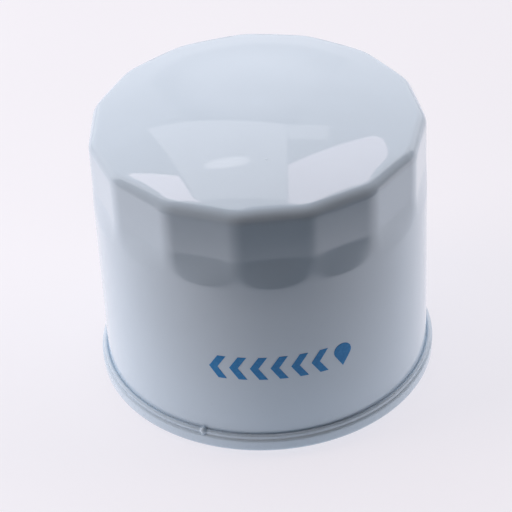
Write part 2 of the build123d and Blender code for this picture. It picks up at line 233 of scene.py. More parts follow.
def sheet_outline(line, thickness):
    """Closed outline of a bent sheet round its centreline, with rounded cut edges."""
    along = np.gradient(line, axis=0)
    along /= np.linalg.norm(along, axis=1)[:, None]
    across = np.stack([-along[:, 1], along[:, 0]], axis=1) * thickness / 2
    left = line + across
    right = line - across
    bulge = thickness * CUT_BULGE
    end_tip = line[-1] + along[-1] * bulge
    start_tip = line[0] - along[0] * bulge
    end_cap = [end_tip + across[-1] * CUT_SHOULDER, end_tip - across[-1] * CUT_SHOULDER]
    start_cap = [start_tip - across[0] * CUT_SHOULDER, start_tip + across[0] * CUT_SHOULDER]
    return np.array([*left, *end_cap, *right[::-1], *start_cap])


def lathe(name, outline, columns):
    """Closed ring of revolution of an outline in the (radius, z) plane."""
    vertices = turned(outline, round_angles(columns))
    made = new_object(name, vertices.reshape(-1, 3), ring_faces(len(outline), columns, closed_rows=True))
    tidy_normals(made)
    return made


def keep_creases(made, degrees=35):
    """Smooth shading except across edges sharper than the angle."""
    made.data.shade_smooth()
    made.data.set_sharp_from_angle(angle=math.radians(degrees))


# ---------------------------------------------------------------- material helpers
class Finish:
    """A node material with a Principled shader and short calls for its textures."""

    def __init__(self, name, colour, roughness, metallic=0.0):
        self.material = bpy.data.materials.new(name)
        self.material.use_nodes = True
        self.tree = self.material.node_tree
        self.shader = self.tree.nodes["Principled BSDF"]
        self.shader.inputs["Base Color"].default_value = (*colour, 1)
        self.shader.inputs["Roughness"].default_value = roughness
        self.shader.inputs["Metallic"].default_value = metallic
        self.place = self.tree.nodes.new("ShaderNodeTexCoord").outputs["Object"]

    def set(self, socket, value):
        self.shader.inputs[socket].default_value = value

    def link(self, output, socket):
        self.tree.links.new(output, socket)

    def stretched(self, x, y, z):
        """Object coordinates scaled on each axis."""
        node = self.tree.nodes.new("ShaderNodeMapping")
        node.inputs["Scale"].default_value = (x, y, z)
        self.link(self.place, node.inputs["Vector"])
        return node.outputs["Vector"]

    def noise(self, size, detail=3.0, roughness=0.5, place=None):
        """Noise whose features are about size millimetres."""
        node = self.tree.nodes.new("ShaderNodeTexNoise")
        node.inputs["Scale"].default_value = 1 / (size * MM)
        node.inputs["Detail"].default_value = detail
        node.inputs["Roughness"].default_value = roughness
        self.link(place or self.place, node.inputs["Vector"])
        return node.outputs["Fac"]

    def cells(self, size, feature="F1", place=None):
        """Distance to scattered points about size millimetres apart, in cell widths."""
        node = self.tree.nodes.new("ShaderNodeTexVoronoi")
        node.feature = feature
        node.inputs["Scale"].default_value = 1 / (size * MM)
        self.link(place or self.place, node.inputs["Vector"])
        return node.outputs["Distance"]

    def axis(self, name):
        """One object coordinate, X, Y or Z, in metres."""
        node = self.tree.nodes.new("ShaderNodeSeparateXYZ")
        self.link(self.place, node.inputs[0])
        return node.outputs[name]

    def from_axis(self):
        """Distance from the filter's axis, in metres."""
        flat = self.tree.nodes.new("ShaderNodeVectorMath")
        flat.operation = "MULTIPLY"
        flat.inputs[1].default_value = (1, 1, 0)
        self.link(self.place, flat.inputs[0])
        length = self.tree.nodes.new("ShaderNodeVectorMath")
        length.operation = "LENGTH"
        self.link(flat.outputs["Vector"], length.inputs[0])
        return length.outputs["Value"]

    def ramp(self, value, low, high, to_low=0.0, to_high=1.0, smooth=True):
        """Maps a value from one range to another, held at both ends."""
        node = self.tree.nodes.new("ShaderNodeMapRange")
        node.interpolation_type = "SMOOTHSTEP" if smooth else "LINEAR"
        node.inputs["From Min"].default_value = low
        node.inputs["From Max"].default_value = high
        node.inputs["To Min"].default_value = to_low
        node.inputs["To Max"].default_value = to_high
        self.link(value, node.inputs["Value"])
        return node.outputs["Result"]

    def math(self, operation, first, second):
        node = self.tree.nodes.new("ShaderNodeMath")
        node.operation = operation
        for socket, value in zip(node.inputs, (first, second)):
            if isinstance(value, (int, float)):
                socket.default_value = value
            else:
                self.link(value, socket)
        return node.outputs["Value"]

    def mix(self, factor, first, second):
        """Colour mix; first and second are colours or outputs."""
        node = self.tree.nodes.new("ShaderNodeMix")
        node.data_type = "RGBA"
        self.link(factor, node.inputs["Factor"])
        for socket, value in zip((node.inputs[6], node.inputs[7]), (first, second)):
            if isinstance(value, tuple):
                socket.default_value = (*value, 1)
            else:
                self.link(value, socket)
        return node.outputs[2]

    def colour(self, output):
        self.link(output, self.shader.inputs["Base Color"])

    def roughness(self, output):
        self.link(output, self.shader.inputs["Roughness"])

    def metallic(self, output):
        self.link(output, self.shader.inputs["Metallic"])

    def bump(self, height, depth, under=None):
        """Adds a bump of depth millimetres on top of another bump."""
        node = self.tree.nodes.new("ShaderNodeBump")
        node.inputs["Distance"].default_value = depth * MM
        self.link(height, node.inputs["Height"])
        if under is not None:
            self.link(under, node.inputs["Normal"])
        self.link(node.outputs["Normal"], self.shader.inputs["Normal"])
        return node.outputs["Normal"]


PAINT = (0.518, 0.668, 0.803)


def paint_finish():
    """Gloss enamel on the can: faint cloudiness, orange peel and a few nibs of dust under it."""
    finish = Finish("can_paint", PAINT, 0.32)
    finish.set("Specular IOR Level", 0.12)
    finish.set("Coat Weight", 1.0)
    finish.set("Coat Roughness", 0.03)
    finish.set("Coat IOR", 1.72)
    cloud = finish.ramp(finish.noise(14, 3), 0.3, 0.7)
    finish.colour(finish.mix(cloud, (0.513, 0.662, 0.796), (0.523, 0.674, 0.81)))
    peel = finish.bump(finish.noise(2.2, 1.5), 0.0025)
    nibs = finish.ramp(finish.cells(13), 0.013, 0.03, 1, 0)
    finish.bump(nibs, 0.06, peel)
    return finish.material


def cover_finish():
    """Same enamel on the rolled edge, fading in specks to bare tin plate on the pressed middle."""
    finish = Finish("cover_paint", PAINT, 0.32)
    finish.set("Specular IOR Level", 0.2)
    finish.set("Coat Weight", 0.9)
    finish.set("Coat Roughness", 0.05)
    finish.set("Coat IOR", 1.7)
    out = finish.from_axis()
    specks = finish.ramp(finish.noise(0.5, 5), 0.3, 0.7, -0.0009, 0.0009)
    edge = finish.math("ADD", out, specks)
    painted = finish.ramp(edge, 0.0362, 0.0371)
    tin = finish.mix(finish.noise(0.8, 4), (0.50, 0.51, 0.52), (0.64, 0.65, 0.66))
    finish.colour(finish.mix(painted, tin, PAINT))
    finish.metallic(finish.ramp(painted, 0, 1, 1, 0))
    finish.roughness(finish.ramp(finish.noise(1.2, 3), 0.3, 0.7, 0.24, 0.38))
    finish.bump(finish.noise(2.0, 2), 0.003)
    return finish.material


def rubber_finish(name, dark, light, roughness=0.62):
    """Moulded rubber: fine grain and a slight bloom."""
    finish = Finish(name, dark, roughness)
    finish.colour(finish.mix(finish.ramp(finish.noise(3, 4), 0.35, 0.75), dark, light))
    finish.roughness(finish.ramp(finish.noise(0.8, 3), 0.3, 0.7, roughness - 0.08, roughness + 0.1))
    finish.bump(finish.noise(0.25, 4), 0.02)
    return finish.material


def steel_finish(name, dark, light, roughness, stretch=(1, 1, 12), grain=0.6):
    """Rolled or drawn steel: streaks along one direction and a soft mottle."""
    finish = Finish(name, light, roughness, 1.0)
    streaks = finish.noise(grain, 4, place=finish.stretched(*stretch))
    mottle = finish.noise(4, 3)
    both = finish.math("ADD", streaks, mottle)
    finish.colour(finish.mix(finish.ramp(both, 0.7, 1.3), dark, light))
    finish.roughness(finish.ramp(streaks, 0.3, 0.7, roughness - 0.07, roughness + 0.09))
    finish.bump(streaks, 0.006)
    return finish.material


def paper_finish():
    """Resin-treated filter paper: fibres and flecks."""
    finish = Finish("filter_paper", (0.72, 0.56, 0.30), 0.85)
    fibres = finish.noise(0.35, 6, 0.65, finish.stretched(1, 1, 0.35))
    flecks = finish.ramp(finish.cells(1.3), 0.08, 0.2, 1, 0)
    tone = finish.mix(finish.ramp(fibres, 0.3, 0.7), (0.60, 0.44, 0.21), (0.80, 0.65, 0.38))
    finish.colour(finish.mix(finish.math("MULTIPLY", flecks, 0.35), tone, (0.42, 0.28, 0.12)))
    finish.bump(fibres, 0.05)
    return finish.material


def potting_finish():
    """Cured compound: dull, a little uneven, with small pits."""
    finish = Finish("potting", (0.48, 0.49, 0.51), 0.55)
    tone = finish.ramp(finish.noise(3, 4), 0.3, 0.7)
    finish.colour(finish.mix(tone, (0.44, 0.45, 0.47), (0.54, 0.55, 0.57)))
    swell = finish.bump(finish.noise(2.5, 3), 0.12)
    finish.bump(finish.ramp(finish.cells(2.2), 0.05, 0.12), 0.08, swell)
    return finish.material


def ink_finish():
    """Screen-printed ink: slightly uneven cover."""
    finish = Finish("ink", (0.012, 0.24, 0.60), 0.45)
    finish.set("Specular IOR Level", 0.35)
    cover = finish.ramp(finish.noise(0.7, 5), 0.35, 0.75)
    finish.colour(finish.mix(cover, (0.010, 0.215, 0.56), (0.022, 0.27, 0.63)))
    finish.bump(finish.noise(0.3, 3), 0.01)
    return finish.material


def compound_finish():
    """Seam sealing compound."""
    finish = Finish("compound", (0.42, 0.38, 0.30), 0.7)
    finish.colour(finish.mix(finish.noise(0.6, 4), (0.36, 0.32, 0.25), (0.48, 0.44, 0.35)))
    finish.bump(finish.noise(0.4, 3), 0.03)
    return finish.material


FINISHES = {
    "can_paint": paint_finish(),
    "cover_paint": cover_finish(),
    "plate_steel": steel_finish("plate_steel", (0.36, 0.36, 0.35), (0.58, 0.58, 0.57), 0.40, EVEN, 1.2),
    "gasket_rubber": rubber_finish("gasket_rubber", (0.012, 0.012, 0.013), (0.03, 0.03, 0.032), 0.5),
    "valve_rubber": rubber_finish("valve_rubber", (0.33, 0.075, 0.03), (0.42, 0.11, 0.045), 0.55),
    "seal_rubber": rubber_finish("seal_rubber", (0.02, 0.02, 0.02), (0.04, 0.04, 0.04), 0.6),
    "cap_steel": steel_finish("cap_steel", (0.48, 0.49, 0.50), (0.66, 0.67, 0.68), 0.30, (1, 14, 14)),
    "tube_steel": steel_finish("tube_steel", (0.48, 0.49, 0.50), (0.66, 0.67, 0.68), 0.32),
    "cage_steel": steel_finish("cage_steel", (0.46, 0.46, 0.47), (0.62, 0.63, 0.64), 0.34),
    "poppet_steel": steel_finish("poppet_steel", (0.44, 0.44, 0.45), (0.60, 0.60, 0.61), 0.30),
    "spring_steel": steel_finish("spring_steel", (0.16, 0.16, 0.17), (0.30, 0.30, 0.31), 0.36, EVEN, 0.3),
    "clip_steel": steel_finish("clip_steel", (0.48, 0.49, 0.50), (0.66, 0.67, 0.68), 0.32),
    "filter_paper": paper_finish(),
    "potting": potting_finish(),
    "compound": compound_finish(),
    "ink": ink_finish(),
}


def finish_piece(made, slot, body, *nodes):
    """Gives a piece its finish, its body and the CAD nodes that it stands for."""
    made.data.materials.clear()
    made.data.materials.append(FINISHES[slot])
    if body:
        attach(made, body)
    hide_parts(*nodes)


# ---------------------------------------------------------------- can
def smooth_max(first, second, width):
    """Larger of two distances, with their meeting rounded over width."""
    near = np.maximum(width - np.abs(first - second), 0) / width
    return np.maximum(first, second) + near * near * width / 4


def round_corner(first, second, radius):
    """Outside distance of two faces that meet at a corner of the radius."""
    past_first = np.maximum(first + radius, 0)
    past_second = np.maximum(second + radius, 0)
    rounded = np.hypot(past_first, past_second) - radius
    return np.where((first > -radius) & (second > -radius), rounded, np.maximum(first, second))


def can_distance(radius, angle, height):
    """Distance outside the can: flats that run out over ramps into the round side, and the dome."""
    step = 2 * math.pi / FLUTE_COUNT
    from_flat = (angle + math.pi / 2 + step / 2) % step - step / 2
    nearest = radius * np.cos(from_flat) - FLAT_DISTANCE
    beside = radius * np.cos(np.abs(from_flat) - step) - FLAT_DISTANCE
    flats = smooth_max(nearest, beside, RIDGE_BLEND)
    down = smooth_max((FLUTE_FLOOR_Z - height) / RAMP_HEIGHT, 0, RAMP_BLEND)
    down = np.minimum(down, 1)
    side = flats * (1 - down) + (radius - RAMP_FOOT_RADIUS) * down
    side = smooth_max(side, radius - CAN_RADIUS, SIDE_BLEND)
    dome = np.hypot(radius, height - (CROWN_Z - DOME_RADIUS)) - DOME_RADIUS
    return round_corner(side, dome, SHOULDER_RADIUS)


CAST_Z = 42.0
CAST_REACH = 60.0
CAST_HALVINGS = 34
COLUMNS_PER_FLUTE = 36
CAN_COLUMNS = FLUTE_COUNT * COLUMNS_PER_FLUTE
CROWN_HOLE_RADIUS = 0.5
CAST_END_Z = 44.0
FLANGE_START_Z = 43.0


def cast_rows(profile, depth):
    """Points of the surface depth inside the can, along rays from the axis through each profile point."""
    angles = round_angles(CAN_COLUMNS)
    profile = np.asarray(profile, float)
    rise = profile[:, 1] - CAST_Z
    length = np.hypot(profile[:, 0], rise)
    out = (profile[:, 0] / length)[:, None]
    up = (rise / length)[:, None]
    near = np.zeros((len(profile), CAN_COLUMNS))
    far = np.full_like(near, CAST_REACH)
    for _ in range(CAST_HALVINGS):
        middle = (near + far) / 2
        inside = can_distance(middle * out, angles[None, :], CAST_Z + middle * up) < -depth
        near = np.where(inside, middle, near)
        far = np.where(inside, far, middle)
    radius = near * out
    return np.stack([radius * np.cos(angles), radius * np.sin(angles), CAST_Z + near * up], axis=-1)


def can_profile(dome_steps, shoulder_steps, side_steps):
    """Guide points from the crown, over the shoulder and down past the flutes."""
    shoulder_r = FLAT_DISTANCE - SHOULDER_RADIUS
    inner_dome = DOME_RADIUS - SHOULDER_RADIUS
    shoulder_z = CROWN_Z - DOME_RADIUS + math.sqrt(inner_dome**2 - shoulder_r**2)
    dome_end = shoulder_r * DOME_RADIUS / inner_dome
    dome = [
        (r, CROWN_Z - DOME_RADIUS + math.sqrt(DOME_RADIUS**2 - r**2))
        for r in np.linspace(CROWN_HOLE_RADIUS, dome_end, dome_steps)
    ]
    start = 90 - math.degrees(math.asin(shoulder_r / inner_dome))
    shoulder = arc((shoulder_r, shoulder_z), SHOULDER_RADIUS, start, 0, shoulder_steps)[1:]
    side = [(CAN_RADIUS, z) for z in np.linspace(shoulder_z, CAST_END_Z, side_steps + 1)[1:]]
    return dome + shoulder + side


def make_can():
    """Closed sheet of the whole can: outer face, flange hooked into the seam, and inner face."""
    angles = round_angles(CAN_COLUMNS)
    outer = cast_rows(can_profile(dome_steps=46, shoulder_steps=26, side_steps=96), 0)
    inner = cast_rows(can_profile(dome_steps=20, shoulder_steps=10, side_steps=20), CAN_SHEET)[::-1]
    hook_bend = (BODY_HOOK_RADIUS - WALL_RADIUS) / 2
    flange_corners = [
        (WALL_RADIUS, FLANGE_START_Z),
        (WALL_RADIUS, LOWER_BEND_Z - hook_bend),
        (BODY_HOOK_RADIUS, LOWER_BEND_Z - hook_bend),
        (BODY_HOOK_RADIUS, BODY_HOOK_END_Z),
    ]
    flange = bent_line(flange_corners, [hook_bend] * 2, steps=5, spacing=3.0)
    lower = turned(sheet_outline(flange, CAN_SHEET)[:-2], angles)
    rows = np.concatenate([outer, lower, inner])
    row_count = len(rows)
    vertices = rows.reshape(-1, 3)
    crown = len(vertices)
    vertices = np.vstack([vertices, [0, 0, CROWN_Z], [0, 0, CROWN_Z - CAN_SHEET]])
    faces = ring_faces(row_count, CAN_COLUMNS)
    last = (row_count - 1) * CAN_COLUMNS
    for column in range(CAN_COLUMNS):
        beside = (column + 1) % CAN_COLUMNS
        faces.append((beside, column, crown))
        faces.append((last + column, last + beside, crown + 1))
    made = new_object("can_shell", vertices, faces)
    tidy_normals(made)
    return made


can_shell = make_can()
finish_piece(can_shell, "can_paint", "housing", "can")


# ---------------------------------------------------------------- seaming cover
COVER_COLUMNS = 1080
PANEL_TOP_Z = 4.4
SEAM_SHOULDER_RADIUS = 0.75
SEAM_SHOULDER_SWEEP = 50
LIP_CENTRE_RADIUS = 38.3
LIP_CENTRE_Z = 5.52
LIP_RADIUS = 0.47
LIP_SWEEP = (-5, 128)
LIP_FOOT = (38.8, 5.1)
# Steps out and up: from the lip's foot where the shoulder meets it, and from the can's wall in the gutter
FOOT_EASE = [(0.035, -0.06), (0, 0), (-0.015, 0.1)]
GUTTER = [(0.06, 0.27), (-0.03, 0.31), (-0.06, 0.2)]
FOLD_TOP_DROP = 0.6
FOLD_FOOT_OUT = 0.2
FOLD_FOOT_DROP = 0.1
LAP_ANGLE = math.radians(243)
LAP_HALF_WIDTH = 0.6
LAP_GROWTH = 0.85
LAP_STEP = 0.16
LAP_FADE = 100.0
WELD_COUNT = 8
WELD_CIRCLE = 35.0
WELD_RADIUS = 1.4
WELD_DEPTH = 0.22
WELD_BAND = (33.2, 36.7)
LIP_ONLY_MARGIN = 0.1


def seam_edge(outer_radius):
    """From the panel's outer face over the shoulder and the lip, and down inside to the seam's middle."""
    shoulder = outer_radius - SEAM_SHOULDER_RADIUS
    return [
        *arc((shoulder, PANEL_TOP_Z), outer_radius - shoulder, 0, SEAM_SHOULDER_SWEEP, 8),
        *[(LIP_FOOT[0] + out, LIP_FOOT[1] + up) for out, up in FOOT_EASE],
        *arc((LIP_CENTRE_RADIUS, LIP_CENTRE_Z), LIP_RADIUS, *LIP_SWEEP, 16),
        *[(CAN_RADIUS + out, LIP_CENTRE_Z + up) for out, up in GUTTER],
        (COVER_HOOK_RADIUS, LIP_CENTRE_Z - FOLD_TOP_DROP),
        (COVER_HOOK_RADIUS + FOLD_FOOT_OUT, PANEL_TOP_Z - FOLD_FOOT_DROP),
    ]


def make_cover():
    """Pressed cover: lip, gasket channel between two beads, land, chuck wall and rolled seam."""
    lower_z = SEAM_BOTTOM_Z + COVER_SHEET / 2
    corners = [
        (COVER_LIP_RADIUS, LAND_Z),
        (CHANNEL_INNER_RADIUS - BEAD_WIDTH, LAND_Z),
        (CHANNEL_INNER_RADIUS - BEAD_WIDTH, BEAD_BOTTOM_Z),
        (CHANNEL_INNER_RADIUS, BEAD_BOTTOM_Z),
        (CHANNEL_INNER_RADIUS, LAND_Z),
        (CHANNEL_OUTER_RADIUS, LAND_Z),
        (CHANNEL_OUTER_RADIUS, BEAD_BOTTOM_Z),
        (CHANNEL_OUTER_RADIUS + BEAD_WIDTH, BEAD_BOTTOM_Z),
        (CHANNEL_OUTER_RADIUS + BEAD_WIDTH, LAND_Z),
        (CHUCK_RADIUS, LAND_Z),
        (CHUCK_RADIUS, lower_z),
        (PANEL_RADIUS, lower_z),
        (PANEL_RADIUS, PANEL_TOP_Z),
    ]
    radii = [COVER_BEND_RADIUS] * 9 + [LOWER_BEND_RADIUS] * 2
    line = bent_line(corners, radii, steps=10, spacing=0.4)
    sheet = sheet_outline(line, COVER_SHEET)
    inner_face, outer_face = sheet[: len(line)], sheet[len(line) + 2 : 2 * len(line) + 2][::-1]
    start_cap = sheet[2 * len(line) + 2 :]
    edge = seam_edge(PANEL_RADIUS + COVER_SHEET / 2)
    outline = np.array([*outer_face[:-1], *edge, *inner_face[::-1], *start_cap[::-1]])
    angles = round_angles(COVER_COLUMNS)
    vertices = turned(outline, angles)
    radius = np.hypot(vertices[..., 0], vertices[..., 1])
    height = vertices[..., 2]

    # The lip swells where its ends lap, and stays a little fuller on one side of that place
    from_lap = ((angles - LAP_ANGLE + math.pi) % (2 * math.pi) - math.pi) * PANEL_RADIUS
    lump = LAP_GROWTH * np.exp(-((from_lap / LAP_HALF_WIDTH) ** 4))
    fuller = LAP_STEP / (1 + np.exp(np.clip(from_lap / LAP_HALF_WIDTH * 3, -30, 30)))
    fuller = fuller * np.clip(1 - np.abs(from_lap) / LAP_FADE, 0, 1)
    lip = (height > LIP_FOOT[1]) & (radius > CAN_RADIUS - LIP_ONLY_MARGIN)
    grow = 1 + (lump + fuller)[None, :] * lip
    out = LIP_CENTRE_RADIUS + (radius - LIP_CENTRE_RADIUS) * grow
    height = LIP_CENTRE_Z + (height - LIP_CENTRE_Z) * grow

    # Spot welds that hold the thread plate leave dents underneath
    low_face = (radius > WELD_BAND[0]) & (radius < WELD_BAND[1]) & (height < LAND_Z)
    for index in range(WELD_COUNT):
        weld = 2 * math.pi * (index + 0.5) / WELD_COUNT
        away_x = radius * np.cos(angles) - WELD_CIRCLE * math.cos(weld)
        away_y = radius * np.sin(angles) - WELD_CIRCLE * math.sin(weld)
        dent = WELD_DEPTH * np.exp(-((np.hypot(away_x, away_y) / WELD_RADIUS) ** 4))
        height = height + np.where(low_face, dent, 0)

    vertices = np.stack([out * np.cos(angles), out * np.sin(angles), height], axis=-1)
    faces = ring_faces(len(outline), COVER_COLUMNS, closed_rows=True)
    made = new_object("cover_pressing", vertices.reshape(-1, 3), faces)
    tidy_normals(made)
    return made


cover_pressing = make_cover()
finish_piece(cover_pressing, "cover_paint", "housing", "seaming_cover")


# ---------------------------------------------------------------- compound in the seam
BEAD_ROUNDING = 0.06
# Inner and outer radius, bottom and top of each bead
UPPER_BEAD = (
    BODY_HOOK_RADIUS - 0.18,
    BODY_HOOK_RADIUS + 0.04,
    BODY_HOOK_END_Z + 0.45,
    BODY_HOOK_END_Z + 0.62,
)
LOWER_BEAD = (
    COVER_HOOK_RADIUS - 0.2,
    COVER_HOOK_RADIUS + 0.2,
    LOWER_BEND_Z + 0.1,
    COVER_HOOK_END_Z - 0.05,
)


def make_seam_filling():
    """Two beads of compound inside the rolled seam: above the can's hook and under the cover's hook."""
    angles = round_angles(COVER_COLUMNS // 3)
    vertices, faces = [], []
    for inner, outer, low, high in (UPPER_BEAD, LOWER_BEAD):
        start = len(vertices)
        corners = [(outer, low), (outer, high), (inner, high), (inner, low)]
        line = bent_line([*corners, corners[0]], [BEAD_ROUNDING] * 3, steps=3, spacing=0.3)[:-1]
        vertices.extend(turned(line, angles).reshape(-1, 3).tolist())
        faces.extend(tuple(start + k for k in face) for face in ring_faces(len(line), len(angles), True))
    made = new_object("seam_filling", vertices, faces)
    tidy_normals(made)
    return made


seam_filling = make_seam_filling()
finish_piece(seam_filling, "compound", "housing", "seam_compound")


# ---------------------------------------------------------------- gasket
def make_gasket():
    """Rubber ring of rounded rectangular section with a fine moulding line at mid height."""
    inner, outer, top = GASKET_INNER_RADIUS, GASKET_OUTER_RADIUS, GASKET_HEIGHT
    edge = 0.4
    seam_z = top / 2
    seam_half = 0.12
    seam_depth = 0.05
    outline = [
        *arc((outer - edge, edge), edge, -90, 0, 5),
        (outer, seam_z - seam_half),
        (outer - seam_depth, seam_z),
        (outer, seam_z + seam_half),
        *arc((outer - edge, top - edge), edge, 0, 90, 5),
        *arc((inner + edge, top - edge), edge, 90, 180, 5),
        (inner, seam_z + seam_half),
        (inner + seam_depth, seam_z),
        (inner, seam_z - seam_half),
        *arc((inner + edge, edge), edge, 180, 270, 5),
    ]
    return lathe("gasket_ring", outline, columns=360)


gasket_ring = make_gasket()
keep_creases(gasket_ring)
finish_piece(gasket_ring, "gasket_rubber", "housing", "gasket")


# ---------------------------------------------------------------- thread plate
SECTOR_COLUMNS = 24
PLATE_COLUMNS = INLET_COUNT * SECTOR_COLUMNS
BAND_INNER_RADIUS = 14.8
BAND_OUTER_RADIUS = 22.0


def thread_radius(angle, height):
    """Radius of the tapped bore: a right-hand 60 degree thread, opened by the lead-in at both mouths."""
    phase = (height / THREAD_PITCH - angle / (2 * math.pi)) % 1.0
    from_root = np.abs(phase - 0.5) * THREAD_PITCH
    flank = THREAD_MAJOR_RADIUS - (from_root - THREAD_PITCH / 16) * math.tan(math.radians(60))
    wall = np.clip(flank, THREAD_MINOR_RADIUS, THREAD_MAJOR_RADIUS)
    mouth = THREAD_MINOR_RADIUS + THREAD_LEAD_IN
    from_bottom = mouth - (height - PLATE_BOTTOM_Z)
    from_top = mouth - (COLLAR_TOP_Z - height)
    return np.maximum(wall, np.maximum(from_bottom, from_top))


def make_plate():
    """Thread plate: disc with rolled-over inlet edges, collar and the real helical thread."""
    angles = round_angles(PLATE_COLUMNS)
    mouth = THREAD_MINOR_RADIUS + THREAD_LEAD_IN
    rim = PLATE_RADIUS - PLATE_EDGE_BREAK
    root = COLLAR_RADIUS + PLATE_EDGE_BREAK
    root_centre = (root, PLATE_TOP_Z + PLATE_EDGE_BREAK)
    lines = [
        [(mouth, PLATE_BOTTOM_Z), (BAND_INNER_RADIUS, PLATE_BOTTOM_Z)],
        [
            (BAND_OUTER_RADIUS, PLATE_BOTTOM_Z),
            (rim, PLATE_BOTTOM_Z),
            (PLATE_RADIUS, PLATE_BOTTOM_Z + PLATE_EDGE_BREAK),
            (PLATE_RADIUS, PLATE_TOP_Z - PLATE_EDGE_BREAK),
            (rim, PLATE_TOP_Z),
            (BAND_OUTER_RADIUS, PLATE_TOP_Z),
        ],
        [
            (BAND_INNER_RADIUS, PLATE_TOP_Z),
            *arc(root_centre, PLATE_EDGE_BREAK, 270, 180, 5),
            (COLLAR_RADIUS, COLLAR_TOP_Z - COLLAR_EDGE_BREAK),
            (COLLAR_RADIUS - COLLAR_EDGE_BREAK, COLLAR_TOP_Z),
            (mouth, COLLAR_TOP_Z),
        ],
    ]
    blocks = [turned(line, angles) for line in lines]
    heights = np.linspace(COLLAR_TOP_Z, PLATE_BOTTOM_Z, THREAD_ROWS)
    radius = thread_radius(angles[None, :], heights[:, None])
    level = np.repeat(heights[:, None], PLATE_COLUMNS, axis=1)
    blocks.append(np.stack([radius * np.cos(angles), radius * np.sin(angles), level], axis=-1))
    sector = 2 * math.pi / INLET_COUNT
    side = np.linspace(BAND_OUTER_RADIUS, BAND_INNER_RADIUS, 9)
    swing = np.linspace(-sector / 2, sector / 2, SECTOR_COLUMNS + 1)
    border = [(BAND_OUTER_RADIUS, a) for a in swing]
    border += [(r, sector / 2) for r in side[1:]]
    border += [(BAND_INNER_RADIUS, a) for a in swing[::-1][1:]]
    border += [(r, -sector / 2) for r in side[::-1][1:-1]]
    halfway = 0.3 * INLET_ROLLOVER
    rollover = [
        (INLET_RADIUS + INLET_ROLLOVER, 0),
        (INLET_RADIUS + halfway, halfway),
        (INLET_RADIUS, INLET_ROLLOVER),
    ]
    for index in range(INLET_COUNT):
        middle = index * sector
        edge = np.array([(r * math.cos(middle + a), r * math.sin(middle + a)) for r, a in border])
        centre = np.array([math.cos(middle), math.sin(middle)]) * INLET_CIRCLE_RADIUS
        outward = edge - centre
        outward /= np.linalg.norm(outward, axis=1)[:, None]
        rings = [(edge, PLATE_BOTTOM_Z)]
        rings += [(centre + outward * r, PLATE_BOTTOM_Z + depth) for r, depth in rollover]
        rings += [(centre + outward * r, PLATE_TOP_Z - depth) for r, depth in reversed(rollover)]
        rings += [(edge, PLATE_TOP_Z)]
        blocks.append(np.stack([np.column_stack([flat, np.full(len(flat), z)]) for flat, z in rings]))
    vertices, faces = [], []
    for block in blocks:
        start = len(vertices)
        vertices.extend(block.reshape(-1, 3).tolist())
        faces.extend(tuple(start + k for k in face) for face in ring_faces(*block.shape[:2]))
    made = new_object("threaded_plate", vertices, faces)
    tidy_normals(made, weld=0.002)
    keep_creases(made, 32)
    return made


threaded_plate = make_plate()
finish_piece(threaded_plate, "plate_steel", "housing", "thread_plate")


# ---------------------------------------------------------------- anti-drainback valve
VALVE_TOP_Z = valve_high.z / MM
VALVE_TIP_Z = valve_low.z / MM
VALVE_BORE_RADIUS = 12.15
VALVE_SLEEVE_RADIUS = 13.35
VALVE_SLEEVE_BOTTOM_Z = 9.25
VALVE_FOLD_RADIUS = 15.0
VALVE_FOLD_Z = 11.6
VALVE_SEAT_RADIUS = 16.0
VALVE_SEAT_BOTTOM_Z = 12.7
VALVE_LIP_RADIUS = 23.6
VALVE_LIP_THICKNESS = 0.8


def make_valve():
    """Rubber valve: sleeve on the collar, seat under the element and a conical lip over the inlets."""
    corners = [
        (VALVE_BORE_RADIUS, VALVE_TOP_Z),
        (VALVE_BORE_RADIUS, VALVE_SLEEVE_BOTTOM_Z),
        (VALVE_SLEEVE_RADIUS, VALVE_SLEEVE_BOTTOM_Z),
        (VALVE_SLEEVE_RADIUS, VALVE_FOLD_Z),
        (VALVE_FOLD_RADIUS, VALVE_FOLD_Z),
        (VALVE_LIP_RADIUS - VALVE_LIP_THICKNESS, VALVE_TIP_Z),
        (VALVE_LIP_RADIUS, VALVE_TIP_Z),
        (VALVE_LIP_RADIUS, VALVE_TIP_Z + VALVE_LIP_THICKNESS),
        (VALVE_SEAT_RADIUS, VALVE_SEAT_BOTTOM_Z),
        (VALVE_SEAT_RADIUS, VALVE_TOP_Z),
        (VALVE_BORE_RADIUS, VALVE_TOP_Z),
    ]
    radii = [0.2, 0.2, 0.4, 0.5, 0.15, 0.15, 0.15, 0.2, 0.1]
    line = bent_line(corners, radii, steps=4, spacing=0.6)
    return lathe("drainback_valve", line[:-1], columns=240)


drainback_valve = make_valve()
keep_creases(drainback_valve)
finish_piece(drainback_valve, "valve_rubber", None, "anti_drainback_valve")
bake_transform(drainback_valve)


# ---------------------------------------------------------------- springs
STEPS_PER_TURN = 72
WIRE_SIDES = 18
CLOSED_TURNS = 0.75
CLOSED_PITCH = 1.04
GROUND_SHARE = 0.42
PITCH_BLENDS = 24


